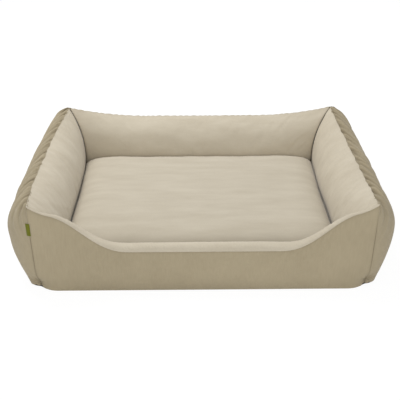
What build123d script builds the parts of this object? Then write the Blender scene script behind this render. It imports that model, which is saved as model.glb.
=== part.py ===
from build123d import *
import math
import os

# A rectangular bolster bed for a dog: a sewn cover with a fat rolled bolster on three sides and a
# low front wall, and a loose crowned cushion that lies in the well. Millimetres, +Z up, the front
# faces -Y, and the origin is on the floor under the middle of the bed.

# Overall size, over the bulging sides
overall_width = 1000.0
overall_depth = 730.0
corner_height = 250.0

# Cloth and the slack that sewing leaves
cover_thickness = 2.5
base_thickness = 3.0
fill_clearance = 0.4
seam_clearance = 0.7
butt_clearance = 0.5

# Section of a side or back bolster, measured from the line under its corner-to-corner top seam
outer_reach = 75.0
inner_reach = 72.0
outer_bulge_height = 135.0
inner_bulge_height = 115.0
outer_foot = 30.0
inner_foot = 50.0
crest_height = 218.0
seam_shift = 18.0

# The ears at the corners: how far along a bolster they fade, and how the inner face draws back there
corner_run = 250.0
corner_draw = 24.0

# The front ends of the side bolsters, which swell out behind the upright front seams
swell_depth = 95.0
swell_start = 1.5
front_foot_depth = 45.0
steepest_stretch = 2.0
swell_turn_share = 0.95

# Front wall: low in the middle, where the dog steps in, and rising to the front corners
front_bulge = 10.0
front_bulge_at_seam = 3.0
front_wall = 36.0
front_wall_at_seam = 9.0
front_wall_full_half_width = 300.0
front_foot_inset = 2.0
dip_height = 119.0
dip_half_width = 175.0
dip_rise_width = 200.0
dip_rise_skew = 1.3
shoulder_height = 222.0
front_ear_run = 75.0
lip_drop = 6.0
lip_drop_at_seam = 48.0

# Loose cushion
cushion_clearance = 1.5
cushion_zip_room = 2.5
cushion_height = 119.0
cushion_crown = 14.0
cushion_cover = 2.0
cushion_corner_radius = 55.0
cushion_edge_radius = 42.0
cushion_side_draw = 5.0
cushion_corner_run = 115.0
cushion_seam_height = 55.0
rest_clearance = 0.3

# Zips: a tape each side, a row of teeth on each, a slider with a hinged pull, and end stops
zip_slot_width = 16.0
zip_tape_thickness = 1.2
zip_tape_depth = 0.7
zip_tape_clearance = 0.2
teeth_gap = 1.4
teeth_width = 2.5
teeth_height = 1.8
teeth_edge_radius = 0.6
slider_length = 13.0
slider_width = 9.0
slider_nose = 5.4
slider_plate = 1.6
slider_clearance = 0.3
slider_post_width = 0.8
slider_post_length = 4.0
slider_edge_radius = 0.5
bail_span = 6.4
bail_leg = 1.2
bail_radius = 0.7
knuckle_radius = 1.8
knuckle_clearance = 0.12
knuckle_end_gap = 0.2
pull_length = 21.0
pull_width = 6.0
pull_neck_width = 3.2
pull_neck_length = 5.0
pull_thickness = 1.4
pull_hole_radius = 1.2
stop_length = 3.0
stop_cover = 0.8
slider_end_gap = 1.0
border_zip_end = 105.0
border_zip_height = 44.0
cushion_zip_end = 25.0
zip_cut_depth = 6.0

# Small tag folded into the front left seam
tag_height = 34.0
tag_width = 12.0
tag_ribbon = 0.5
tag_fold_gap = 0.4
tag_seam_overlap = 3.0
tag_below_corner = 65.0

# Lines that everything is set out from
ridge_x = overall_width / 2 - outer_reach
ridge_y = overall_depth / 2 - outer_reach
front_y = -overall_depth / 2 + front_bulge
base_half_width = ridge_x + outer_foot
foot_start = swell_start / 2
front_half_length = ridge_x + swell_start - cover_thickness * steepest_stretch - 2 * butt_clearance
fill_inset = cover_thickness + fill_clearance
up = Vector(0, 0, 1)
down = Vector(0, 0, -1)

# Where the sections stand, as shares of the stretch that they follow
swell_shares = (0, 0.05, 0.13, 0.25, 0.4, 0.6, 0.8, 1)
side_body_shares = (0.04, 0.1, 0.18, 0.3, 0.45, 0.6, 0.73, 0.84, 0.93, 1)
back_shares = (1, 0.88, 0.73, 0.56, 0.36, 0)
front_shares = (1, 0.955, 0.9, 0.84, 0.78, 0.74, 0.7, 0.64, 0.58, 0.51, 0.43, 0.3, 0.12)


def fade(distance, run):
    """1 at a corner, falling smoothly to 0 where its influence ends."""
    return max(0.0, 1 - distance / run) ** 2


def rounded(distance, depth):
    """How far round a soft corner has come, from 0 to 1, and how fast that rises."""
    left = swell_turn_share * max(0.0, 1 - distance / depth)
    start = math.sqrt(1 - swell_turn_share**2)
    come = math.sqrt(1 - left**2)
    return (come - start) / (1 - start), swell_turn_share * left / (come * (1 - start) * depth)


# A bolster's section has two halves, one each side of its top seam. Each half is a foot, a bulge and
# the seam, joined by two arcs that stand upright at the bulge.
class Half:
    def __init__(self, reach, bulge_height, foot, seam_height, seam_at=0.0):
        self.reach = reach
        self.bulge_height = bulge_height
        self.foot = foot
        self.seam_height = seam_height
        self.seam_at = seam_at
        self.rise = seam_height - bulge_height
        self.drop = bulge_height - base_thickness
        self.upper = ((reach - seam_at) ** 2 + self.rise**2) / (2 * (reach - seam_at))
        self.lower = ((reach - foot) ** 2 + self.drop**2) / (2 * (reach - foot))

    def height_inside(self, inset, across):
        """How high the upper arc is, across from the seam line, once it is moved in by inset."""
        return self.bulge_height + math.sqrt((self.upper - inset) ** 2 - (across - self.reach + self.upper) ** 2)

    def foot_inside(self, inset):
        return self.reach - self.lower + math.sqrt((self.lower - inset) ** 2 - self.drop**2)


class Section:
    """A bolster's section at one station: place(u, z) puts a point that is u outside the seam line."""

    def __init__(self, outer, inner, place, stretch=1.0):
        self.outer = outer
        self.inner = inner
        self.place = place
        self.stretch = stretch

    def seam_inside(self, outer_inset, inner_inset, shift=0.0):
        """Where the two upper arcs cross once they are moved in."""
        outer_u, inner_u = self.outer.reach - self.outer.upper, self.inner.upper - self.inner.reach
        outer_radius, inner_radius = self.outer.upper - outer_inset, self.inner.upper - inner_inset
        across = inner_u - outer_u
        up_by = self.inner.bulge_height - self.outer.bulge_height
        apart = math.hypot(across, up_by)
        along = (apart**2 + outer_radius**2 - inner_radius**2) / (2 * apart)
        off = math.sqrt(outer_radius**2 - along**2)
        u = outer_u + (across * along - up_by * off) / apart
        z = self.outer.bulge_height + (up_by * along + across * off) / apart
        return self.place(u + shift, z)

    def arcs(self, side, inset, seam):
        """The lower and the upper arc of a half. side is 1 outside and -1 inside."""
        half = self.outer if side > 0 else self.inner
        bulge = self.place(side * (half.reach - inset), half.bulge_height)
        foot = self.place(side * half.foot_inside(inset), base_thickness)
        return TangentArc(bulge, foot, tangent=down), TangentArc(bulge, seam, tangent=up)

    def fill(self):
        """The closed outline of the filling."""
        seam = self.seam_inside(fill_inset * self.stretch, fill_inset)
        lower_out, upper_out = self.arcs(1, fill_inset * self.stretch, seam)
        lower_in, upper_in = self.arcs(-1, fill_inset, seam)
        base = Line(lower_in @ 1, lower_out @ 1)
        return Wire([base, lower_out, upper_out, upper_in, lower_in])

    def corner_fill(self):
        """The outer part of the filling, closed on the line under the seam, to turn round a corner."""
        top = self.place(0, self.outer.height_inside(fill_inset, 0))
        foot = self.place(0, base_thickness)
        lower, upper = self.arcs(1, fill_inset, top)
        return Wire([lower, upper, Line(top, foot), Line(foot, lower @ 1)])

    def cloth(self, side, outer_inset):
        """The thin crescent of cloth over one half."""
        shift = side * seam_clearance / 2
        seam = self.place(self.outer.seam_at + shift, self.outer.seam_height)
        seam_in = self.seam_inside(outer_inset, cover_thickness, shift)
        lower, upper = self.arcs(side, 0, seam)
        lower_in, upper_in = self.arcs(side, outer_inset if side > 0 else cover_thickness, seam_in)
        return Wire([lower, upper, Line(seam, seam_in), upper_in, lower_in, Line(lower @ 1, lower_in @ 1)])

    def panel(self):
        return self.cloth(1, cover_thickness * self.stretch)

    def lining(self):
        return self.cloth(-1, cover_thickness * self.stretch)


def lofted(wires):
    return Solid.make_loft(wires)


def lofted_side(outline):
    """The swelling front end and the long body of a side bolster, lofted apart so that neither ripples."""
    end = len(swell_shares)
    wires = [outline(section) for section in side_sections]
    return lofted(wires[:end]) + lofted(wires[end - 1 :])


def turned(wire, x, y, angle):
    """A section turned about the upright line through a corner of the top seam."""
    return revolve(Face(wire), Axis((x, y, 0), (0, 0, 1)), revolution_arc=angle)


# Left bolster. The right one is its mirror image.
def side_section(y):
    from_front = y - front_y
    from_back = ridge_y - y
    ear = min(1.0, fade(from_front, corner_run) + fade(from_back, corner_run))
    seam_height = crest_height + (corner_height - crest_height) * ear
    seam_at = seam_shift * (1 - ear)
    swell, rate = rounded(from_front, swell_depth)
    reach = swell_start + (outer_reach - swell_start) * swell
    stretch = min(steepest_stretch, math.hypot(1, (outer_reach - swell_start) * rate))
    foot = foot_start + (outer_foot - foot_start) * rounded(from_front, front_foot_depth)[0]
    outer = Half(reach, outer_bulge_height, foot, seam_height, seam_at)
    draw = corner_draw * fade(from_back, corner_run)
    foot_in = inner_foot - draw
    inner = Half(inner_reach - draw, inner_bulge_height, foot_in, seam_height, -seam_at)
    return Section(outer, inner, lambda u, z: Vector(-ridge_x - u, y, z), stretch)


swell_end = front_y + swell_depth
side_stations = [front_y + swell_depth * share for share in swell_shares]
side_stations += [swell_end + (ridge_y - swell_end) * share for share in side_body_shares]
side_sections = [side_section(y) for y in side_stations]

# The mitre runs in at 45 degrees from each rear corner of the top seam
left_mitre = Plane(origin=(-ridge_x, ridge_y, 0), z_dir=(-1, -1, 0))
right_mitre = Plane(origin=(ridge_x, ridge_y, 0), z_dir=(1, -1, 0))

# The front wall closes the side bolster on a slanting plane, thick inside and thin at the seam
wall_inside = Vector(-front_wall_full_half_width, front_y + front_wall, 0)
wall_outside = Vector(-front_half_length, front_y + front_wall_at_seam, 0)
wall_run = wall_outside - wall_inside
wall_normal = Vector(wall_run.Y, -wall_run.X, 0).normalized()
if wall_normal.Y < 0:
    wall_normal = wall_normal * -1


def behind_front_wall(clearance):
    return Plane(origin=wall_inside + wall_normal * clearance, z_dir=wall_normal)


def kept(solid, plane):
    """The part of a solid that lies on the side to which the plane's normal points."""
    return split(solid, bisect_by=plane, keep=Keep.TOP)


left_panel = lofted_side(Section.panel)
left_panel = left_panel + turned(side_sections[-1].panel(), -ridge_x, ridge_y, -45)

left_lining = lofted_side(Section.lining)
left_lining = kept(kept(left_lining, left_mitre), behind_front_wall(butt_clearance))

left_fill = lofted_side(Section.fill)
left_fill = kept(kept(left_fill, left_mitre), behind_front_wall(butt_clearance))
left_fill = left_fill + turned(side_sections[-1].corner_fill(), -ridge_x, ridge_y, -45)


# Back bolster
def back_section(x):
    from_corner = ridge_x - abs(x)
    ear = fade(from_corner, corner_run)
    seam_height = crest_height + (corner_height - crest_height) * ear
    seam_at = seam_shift * (1 - ear)
    outer = Half(outer_reach, outer_bulge_height, outer_foot, seam_height, seam_at)
    draw = corner_draw * ear
    foot_in = inner_foot - draw
    inner = Half(inner_reach - draw, inner_bulge_height, foot_in, seam_height, -seam_at)
    return Section(outer, inner, lambda u, z: Vector(x, ridge_y + u, z))


back_stations = [-ridge_x * share for share in back_shares]
back_stations += [-x for x in reversed(back_stations[:-1])]
back_sections = [back_section(x) for x in back_stations]

back_panel = lofted([s.panel() for s in back_sections])
back_panel = back_panel + turned(back_sections[0].panel(), -ridge_x, ridge_y, 45)
back_panel = back_panel + turned(back_sections[-1].panel(), ridge_x, ridge_y, -45)

back_lining = lofted([s.lining() for s in back_sections])
back_lining = kept(kept(back_lining, Plane(left_mitre.origin, z_dir=-left_mitre.z_dir)),
                   Plane(right_mitre.origin, z_dir=-right_mitre.z_dir))

back_fill = lofted([s.fill() for s in back_sections])
back_fill = kept(kept(back_fill, Plane(left_mitre.origin, z_dir=-left_mitre.z_dir)),
                 Plane(right_mitre.origin, z_dir=-right_mitre.z_dir))
back_fill = back_fill + turned(back_sections[0].corner_fill(), -ridge_x, ridge_y, 45)
back_fill = back_fill + turned(back_sections[-1].corner_fill(), ridge_x, ridge_y, -45)


# Front wall
def front_seam_height(x):
    rise = min(1.0, max(0.0, (abs(x) - dip_half_width) / dip_rise_width)) ** dip_rise_skew
    wall = dip_height + (shoulder_height - dip_height) * rise**2 * (3 - 2 * rise)
    return wall + (corner_height - shoulder_height) * fade(ridge_x - abs(x), front_ear_run)


def front_section(x):
    outward = abs(x) / front_half_length
    seam_height = front_seam_height(x)
    bulge = front_bulge + (front_bulge_at_seam - front_bulge) * outward**4
    outer = Half(bulge, seam_height / 2, 0, seam_height)
    thin = max(0.0, abs(x) + wall_inside.X) / (front_half_length + wall_inside.X)
    wall = front_wall + (front_wall_at_seam - front_wall) * thin
    drop = lip_drop + (lip_drop_at_seam - lip_drop) * thin
    inner = Half(wall, seam_height - drop, wall - front_foot_inset, seam_height)
    return Section(outer, inner, lambda u, z: Vector(x, front_y - u, z))


front_stations = [-front_half_length * share for share in front_shares]
front_stations += [-x for x in reversed(front_stations)]
front_sections = [front_section(x) for x in front_stations]
front_panel = lofted([s.panel() for s in front_sections])
front_lining = lofted([s.lining() for s in front_sections])
front_fill = lofted([s.fill() for s in front_sections])


# Floor of the bed, a flat cloth sewn to the feet of the outer panels
def base_outline():
    back_y = ridge_y + outer_foot
    front_x = ridge_x + foot_start
    front_arc_y = front_y + front_foot_depth
    arc_x = base_half_width - (outer_foot - foot_start) / (1 - math.sqrt(1 - swell_turn_share**2))
    arc_depth = front_foot_depth / swell_turn_share
    turn = math.degrees(math.asin(swell_turn_share))
    half = [
        Line((0, front_y), (front_x, front_y)),
        EllipticalCenterArc((arc_x, front_arc_y), base_half_width - arc_x, arc_depth, -turn, arc_size=turn),
        Line((base_half_width, front_arc_y), (base_half_width, ridge_y)),
        CenterArc((ridge_x, ridge_y), outer_foot, 0, 90),
        Line((ridge_x, back_y), (0, back_y)),
    ]
    return Wire(half + [edge.mirror(Plane.YZ) for edge in half])


base_panel = extrude(Face(base_outline()), base_thickness)


# Zip, built in a plane whose X runs along the zip, whose Y runs down it and whose normal faces out
class Zip:
    def __init__(self, plane, length):
        self.plane = plane
        self.length = length
        self.tape_top = -zip_tape_depth
        self.tape_bottom = -zip_tape_depth - zip_tape_thickness
        self.teeth_top = self.tape_top + teeth_height
        self.plate_bottom = self.teeth_top + slider_clearance
        self.plate_top = self.plate_bottom + slider_plate
        self.bar_height = self.plate_top + slider_clearance + knuckle_radius
        self.slider_rest = length / 2 - stop_length - slider_end_gap - slider_length / 2

    def block(self, length, y_low, y_high, z_low, z_high, x=0.0):
        shape = Box(length, y_high - y_low, z_high - z_low)
        return Pos(x, (y_low + y_high) / 2, (z_low + z_high) / 2) * shape

    def put(self, shape):
        return self.plane.location * shape

    def slot(self):
        """The slit in the cloth that the tapes close."""
        half = zip_slot_width / 2
        return self.put(self.block(self.length, -half, half, -zip_cut_depth, zip_cut_depth))

    def groove(self):
        """Room in the filling for the slider's lower plate."""
        half = slider_width / 2 + slider_clearance
        return self.put(self.block(self.length, -half, half, -zip_cut_depth, zip_cut_depth))

    def tape(self, side):
        near, far = teeth_gap / 2, zip_slot_width / 2 - zip_tape_clearance
        low, high = sorted((side * near, side * far))
        length = self.length - 2 * zip_tape_clearance
        return self.put(self.block(length, low, high, self.tape_bottom, self.tape_top))

    def teeth(self, side):
        near, far = teeth_gap / 2, teeth_gap / 2 + teeth_width
        low, high = sorted((side * near, side * far))
        length = self.length - 2 * stop_length
        row = self.block(length, low, high, self.tape_top, self.teeth_top)
        top_edges = row.faces().sort_by(Axis.Z)[-1].edges().filter_by(Axis.X)
        return self.put(fillet(top_edges, teeth_edge_radius))

    def stops(self):
        half = teeth_gap / 2 + teeth_width + stop_cover
        x = (self.length - stop_length) / 2 - zip_tape_clearance / 2
        top = self.teeth_top + stop_cover
        length = stop_length - zip_tape_clearance
        stop = self.block(length, -half, half, self.tape_top, top)
        stop = fillet(stop.edges().filter_by(Axis.X).group_by(Axis.Z)[-1], teeth_edge_radius)
        return Compound(children=[self.put(Pos(side * x, 0, 0) * stop) for side in (-1, 1)])

    def plate(self, z_low, z_high):
        """A slider plate: full width at its mouth, tapering to its tail."""
        half, nose, back = slider_length / 2, slider_nose / 2, slider_width / 2
        outline = Polyline(
            (-half, -nose), (0, -back), (half, -back), (half, back), (0, back), (-half, nose), close=True
        )
        plate = extrude(Pos(0, 0, z_low) * make_face(outline), z_high - z_low)
        return fillet(plate.edges().filter_by(Axis.Z), slider_edge_radius)

    def slider(self):
        lower_top = self.tape_bottom - slider_clearance
        lower = self.plate(lower_top - slider_plate, lower_top)
        flange_bottom = self.tape_top + slider_clearance
        upper = self.plate(flange_bottom, self.plate_top)
        channel = teeth_gap / 2 + teeth_width + slider_clearance
        upper -= self.block(2 * slider_length, -channel, channel, flange_bottom - slider_plate, self.plate_bottom)
        post_half = slider_post_width / 2
        post = self.block(
            slider_post_length, -post_half, post_half, lower_top, self.plate_bottom, slider_length / 4
        )
        body = upper + post + lower
        leg_x = (bail_span - bail_leg) / 2
        for side in (-1, 1):
            leg = self.block(
                bail_leg, -bail_leg / 2, bail_leg / 2, self.plate_top, self.bar_height, side * leg_x
            )
            boss = Pos(side * leg_x, 0, self.bar_height) * Rot(0, 90, 0) * Cylinder(bail_leg, bail_leg)
            body = body + leg + boss
        bar = Pos(0, 0, self.bar_height) * Rot(0, 90, 0) * Cylinder(bail_radius, bail_span)
        return self.put(Pos(self.slider_rest, 0, 0) * (body + bar))

    def pull(self, hang_angle):
        """A flat pull whose rolled eye turns on the slider's bar, hanging at an angle off the tape."""
        knuckle_length = bail_span - 2 * bail_leg - 2 * knuckle_end_gap
        eye = Rot(0, 90, 0) * Cylinder(knuckle_radius, knuckle_length)
        neck = Pos(0, pull_neck_length / 2, 0) * Box(pull_neck_width, pull_neck_length, pull_thickness)
        tab_length = pull_length - pull_neck_length
        tab = Pos(0, pull_neck_length + tab_length / 2, 0) * Box(pull_width, tab_length, pull_thickness)
        tab = fillet(tab.edges().filter_by(Axis.Z), pull_width / 4)
        hole = Pos(0, pull_length - pull_width / 2, 0) * Cylinder(pull_hole_radius, 2 * pull_thickness)
        bore = Rot(0, 90, 0) * Cylinder(bail_radius + knuckle_clearance, 2 * knuckle_length)
        pull = eye + neck + tab - hole - bore
        return self.put(Pos(self.slider_rest, 0, self.bar_height) * Rot(hang_angle, 0, 0) * pull)


# The border's zip lies low on the back, where the outer panel leans in towards its foot
lower_radius = back_sections[0].outer.lower
zip_drop = outer_bulge_height - border_zip_height
zip_across = math.sqrt(lower_radius**2 - zip_drop**2)
zip_normal = Vector(0, zip_across, -zip_drop).normalized()
zip_origin = (0, ridge_y + outer_reach - lower_radius + zip_across, border_zip_height)
border_zip = Zip(Plane(zip_origin, x_dir=(1, 0, 0), z_dir=zip_normal), 2 * (ridge_x - border_zip_end))
back_panel = back_panel - border_zip.slot()
back_fill = back_fill - border_zip.groove()
border_hang = math.degrees(math.asin(zip_drop / lower_radius))


# Loose cushion: a rounded block with a crowned top, its sides drawn in between the corners
cushion_half_width = ridge_x - inner_reach - cushion_clearance
cushion_front_y = front_y + front_wall + cushion_clearance
cushion_back_y = ridge_y - inner_reach - cushion_clearance - cushion_zip_room
cushion_half_depth = (cushion_back_y - cushion_front_y) / 2
cushion_centre_y = (cushion_back_y + cushion_front_y) / 2
cushion_bottom = base_thickness + rest_clearance


def cushion_outline(inset):
    half_x, half_y = cushion_half_width - inset, cushion_half_depth - inset
    draw_x, draw_y = half_x - cushion_side_draw, half_y - cushion_side_draw
    knee_x, knee_y = half_x - cushion_corner_run, half_y - cushion_corner_run
    quarter = [
        Line((0, draw_y), (knee_x, draw_y)),
        TangentArc((knee_x, draw_y), (half_x, half_y), tangent=(1, 0)),
        Line((draw_x, 0), (draw_x, knee_y)),
        TangentArc((draw_x, knee_y), (half_x, half_y), tangent=(0, 1)),
    ]
    half = quarter + [edge.mirror(Plane.YZ) for edge in quarter]
    outline = Face(Wire(half + [edge.mirror(Plane.XZ) for edge in half]))
    corners = outline.vertices().sort_by(lambda v: -abs(v.X) - abs(v.Y))[:4]
    return fillet(corners, cushion_corner_radius - inset)


def cushion_block(inset):
    height = cushion_height - 2 * inset
    base = Pos(0, cushion_centre_y, cushion_bottom + inset)
    block = base * extrude(cushion_outline(inset), height, dir=(0, 0, 1))
    crown_radius = (cushion_half_width**2 + cushion_crown**2) / (2 * cushion_crown)
    # The ball's poles lie level, so that the crown is one face without a seam
    ball = Pos(0, cushion_centre_y, cushion_bottom + cushion_height - crown_radius) * Rot(90, 0, 0)
    block = block & (ball * Sphere(crown_radius - inset))
    edges = block.edges().filter_by(lambda e: abs(e.tangent_at(0.5).Z) < 0.5)
    return fillet(edges, cushion_edge_radius - inset)


cushion_outer = cushion_block(0)
cushion_core = cushion_block(cushion_cover + fill_clearance)
cushion_shell = cushion_outer - cushion_block(cushion_cover)
seam_z = cushion_bottom + cushion_seam_height
cushion_top = kept(cushion_shell, Plane((0, 0, seam_z + seam_clearance / 2), z_dir=(0, 0, 1)))
cushion_under = kept(cushion_shell, Plane((0, 0, seam_z - seam_clearance / 2), z_dir=(0, 0, -1)))

zip_wall_y = cushion_centre_y + cushion_half_depth - cushion_side_draw
cushion_zip_length = 2 * (cushion_half_width - cushion_corner_run - cushion_zip_end)
cushion_zip = Zip(Plane((0, zip_wall_y, seam_z), x_dir=(1, 0, 0), z_dir=(0, 1, 0)), cushion_zip_length)
cushion_top = cushion_top - cushion_zip.slot()
cushion_under = cushion_under - cushion_zip.slot()
cushion_core = cushion_core - cushion_zip.groove()


# Tag: a short ribbon folded in two, its cut ends held at the front left seam
def tag():
    fold_radius = tag_ribbon + tag_fold_gap / 2
    face_y = front_y - seam_clearance - fold_radius
    near_x = -front_half_length - tag_seam_overlap
    fold_x = near_x - tag_width + fold_radius
    length = near_x - fold_x
    centre_height = corner_height - tag_below_corner
    body = Pos((near_x + fold_x) / 2, face_y, centre_height) * Box(length, 2 * fold_radius, tag_height)
    fold = Pos(fold_x, face_y, centre_height) * Cylinder(fold_radius, tag_height)
    gap = Pos((near_x + fold_x) / 2, face_y, centre_height) * Box(length, tag_fold_gap, 2 * tag_height)
    gap_end = Pos(fold_x, face_y, centre_height) * Cylinder(tag_fold_gap / 2, 2 * tag_height)
    return body + fold - gap - gap_end


nodes = {
    "base_panel": base_panel,
    "front_panel": front_panel,
    "back_panel": back_panel,
    "left_panel": left_panel,
    "right_panel": mirror(left_panel, Plane.YZ),
    "front_lining": front_lining,
    "back_lining": back_lining,
    "left_lining": left_lining,
    "right_lining": mirror(left_lining, Plane.YZ),
    "front_bolster_fill": front_fill,
    "back_bolster_fill": back_fill,
    "left_bolster_fill": left_fill,
    "right_bolster_fill": mirror(left_fill, Plane.YZ),
    "seam_tag": tag(),
    "cushion_top_cover": cushion_top,
    "cushion_bottom_cover": cushion_under,
    "cushion_core": cushion_core,
}
for name, fastener, hang in (("border", border_zip, border_hang), ("cushion", cushion_zip, 0.0)):
    nodes[name + "_zip_tape_upper"] = fastener.tape(-1)
    nodes[name + "_zip_tape_lower"] = fastener.tape(1)
    nodes[name + "_zip_teeth_upper"] = fastener.teeth(-1)
    nodes[name + "_zip_teeth_lower"] = fastener.teeth(1)
    nodes[name + "_zip_stops"] = fastener.stops()
    nodes[name + "_zip_slider"] = fastener.slider()
    nodes[name + "_zip_pull"] = fastener.pull(hang)

os.makedirs("parts", exist_ok=True)
for name, shape in nodes.items():
    export_step(shape, f"parts/{name}.step")
    print(name, len(shape.solids()), "solids", round(shape.volume), "mm3")
for name, fastener in (("border", border_zip), ("cushion", cushion_zip)):
    bar = fastener.plane.from_local_coords((fastener.slider_rest, 0, fastener.bar_height))
    print(name, "slider bar at", bar, "slides", 2 * fastener.slider_rest)
print("pull hangs", border_hang, "degrees off the border's tape")
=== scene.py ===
import bpy
import math
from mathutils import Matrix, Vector, noise
from mathutils.bvhtree import BVHTree


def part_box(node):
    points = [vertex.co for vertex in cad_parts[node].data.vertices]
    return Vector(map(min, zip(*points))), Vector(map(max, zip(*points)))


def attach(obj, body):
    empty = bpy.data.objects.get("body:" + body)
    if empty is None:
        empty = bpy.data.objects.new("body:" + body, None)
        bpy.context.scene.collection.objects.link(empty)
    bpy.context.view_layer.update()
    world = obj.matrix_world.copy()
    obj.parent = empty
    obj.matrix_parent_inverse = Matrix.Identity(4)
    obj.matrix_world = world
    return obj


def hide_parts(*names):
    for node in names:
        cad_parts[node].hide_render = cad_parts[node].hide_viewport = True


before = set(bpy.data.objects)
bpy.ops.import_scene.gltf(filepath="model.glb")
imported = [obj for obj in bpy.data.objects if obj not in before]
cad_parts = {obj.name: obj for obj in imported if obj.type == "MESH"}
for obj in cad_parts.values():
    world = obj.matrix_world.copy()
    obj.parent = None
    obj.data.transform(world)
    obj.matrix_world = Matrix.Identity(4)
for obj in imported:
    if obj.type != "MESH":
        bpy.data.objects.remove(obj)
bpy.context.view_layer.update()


# Camera. The bed is seen from in front and above, through a short telephoto lens, and from a touch
# to the left of its middle.
picture_pixels = 400
focal_pixels = 650
film_width = 36
camera_down_tilt = 29.6
camera_turn = -0.74
camera_place = (-0.026, -1.704, 1.035)
camera_aim = (math.radians(90 - camera_down_tilt), 0, math.radians(camera_turn))
bpy.ops.object.camera_add(location=camera_place, rotation=camera_aim)
camera = bpy.context.object
camera.data.sensor_width = film_width
camera.data.lens = focal_pixels / picture_pixels * film_width
bpy.context.scene.camera = camera
bpy.context.scene.view_settings.view_transform = "Standard"


# Cloth of the outer cover: a matt taupe plain weave. Its panels are sewn to the lining along the top
# and to the base at their feet, a little gathered, and the filling stretches them.
outer_taupe_dark = (0.336, 0.280, 0.184, 1)
outer_taupe_light = (0.482, 0.410, 0.278, 1)
outer_thread_pitch = 0.0011
outer_thread_relief = 0.0004
cloth_thickness = 0.0022
seam_shadow = (0.20, 0.17, 0.13, 1)
slub_scale = 240
slub_stretch = (1, 0.22, 1)
thread_share = 0.35
dye_drift_size = 7.0
dye_drift_share = 0.3


def give(tree, socket, value):
    """Set a socket to a value, or link it to another node's output."""
    if isinstance(value, bpy.types.NodeSocket):
        tree.links.new(value, socket)
    else:
        socket.default_value = value


def set_inputs(tree, node, **inputs):
    """Give each named input its value or link. A name has _ where the socket's has a space."""
    for name, value in inputs.items():
        give(tree, node.inputs[name.replace("_", " ")], value)


def add_node(tree, kind, **inputs):
    node = tree.nodes.new("ShaderNode" + kind)
    set_inputs(tree, node, **inputs)
    return node


def group_node(tree, group, **inputs):
    node = tree.nodes.new("ShaderNodeGroup")
    node.node_tree = group
    set_inputs(tree, node, **inputs)
    return node


def math_node(tree, operation, *values):
    node = tree.nodes.new("ShaderNodeMath")
    node.operation = operation
    for socket, value in zip(node.inputs, values):
        give(tree, socket, value)
    return node.outputs[0]


def blended(tree, first, share, second):
    """The given share of the first value, and the rest of the second."""
    return math_node(tree, "MULTIPLY_ADD", first, share, math_node(tree, "MULTIPLY", second, 1 - share))


def spread_node(tree, value, from_low, from_high, to_low, to_high):
    limits = {"From_Min": from_low, "From_Max": from_high, "To_Min": to_low, "To_Max": to_high}
    return add_node(tree, "MapRange", Value=value, **limits).outputs["Result"]


def colour_node(tree, factor, first, second, blend="MIX"):
    node = tree.nodes.new("ShaderNodeMix")
    node.data_type = "RGBA"
    node.blend_type = blend
    set_inputs(tree, node, Factor=factor, A=first, B=second)
    return node.outputs["Result"]


def noise_node(tree, place, scale, detail=2, roughness=0.5):
    node = add_node(tree, "TexNoise", Vector=place, Scale=scale, Detail=detail, Roughness=roughness)
    return node.outputs["Fac"]


def object_place(tree, **mapping):
    """The place on the object in its own metres, turned or stretched when a mapping is given."""
    place = tree.nodes.new("ShaderNodeTexCoord").outputs["Object"]
    return add_node(tree, "Mapping", Vector=place, **mapping).outputs["Vector"] if mapping else place


def set_bump(tree, shader, height, distance, strength=1.0):
    bump = add_node(tree, "Bump", Strength=strength, Distance=distance, Height=height)
    tree.links.new(bump.outputs["Normal"], shader.inputs["Normal"])


def new_material(name):
    material = bpy.data.materials.new(name)
    material.use_nodes = True
    return material, material.node_tree, material.node_tree.nodes["Principled BSDF"]


def new_group(name, inputs, outputs):
    """A node group, with the node that gives its inputs and the one that takes its outputs."""
    group = bpy.data.node_groups.new(name, "ShaderNodeTree")
    for title, kind in inputs.items():
        group.interface.new_socket(name=title, in_out="INPUT", socket_type="NodeSocket" + kind)
    for title in outputs:
        group.interface.new_socket(name=title, in_out="OUTPUT", socket_type="NodeSocketFloat")
    return group, group.nodes.new("NodeGroupInput"), group.nodes.new("NodeGroupOutput")


def make_plain_weave():
    """Threads over and under each other, at a place in metres: their relief and their shade."""
    inputs = {"Place": "Vector", "Pitch": "Float"}
    group, given, result = new_group("plain_weave", inputs, ("Relief", "Shade"))
    split = add_node(group, "SeparateXYZ", Vector=given.outputs["Place"])
    threads = []
    for axis in (0, 1):
        count = math_node(group, "DIVIDE", split.outputs[axis], given.outputs["Pitch"])
        threads.append(math_node(group, "SINE", math_node(group, "MULTIPLY", count, math.pi)))
    crossing = math_node(group, "MULTIPLY", *threads)
    warp_over = math_node(group, "GREATER_THAN", crossing, 0.0)
    weft_over = math_node(group, "SUBTRACT", 1.0, warp_over)
    warp, weft = (
        math_node(group, "MULTIPLY", math_node(group, "ABSOLUTE", thread), over)
        for thread, over in zip(threads, (warp_over, weft_over))
    )
    relief = math_node(group, "ADD", warp, weft)
    stretched = add_node(group, "Mapping", Vector=given.outputs["Place"], Scale=slub_stretch)
    slubs = noise_node(group, stretched.outputs["Vector"], slub_scale, 4)
    set_inputs(group, result, Relief=relief, Shade=blended(group, relief, thread_share, slubs))
    return group


def make_dye_drift():
    """Slow drift of a dyed cloth's tone, as folding and handling leave it."""
    group, given, result = new_group("dye_drift", {"Size": "Float"}, ("Amount",))
    wide = noise_node(group, object_place(group), given.outputs["Size"], 4, 0.6)
    set_inputs(group, result, Amount=spread_node(group, wide, 0.3, 0.7, 0, 1))
    return group


plain_weave = make_plain_weave()
dye_drift = make_dye_drift()


def shaded_at_seams(tree, colour, depth):
    """Painted shade: a colour made darker where the mesh's attribute "seam" says that it lies in a seam, a
    crease or a shadow.
    """
    seam = tree.nodes.new("ShaderNodeAttribute")
    seam.attribute_name = "seam"
    shade = math_node(tree, "MULTIPLY", seam.outputs["Fac"], depth)
    return colour_node(tree, shade, colour, seam_shadow, "MULTIPLY")


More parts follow.
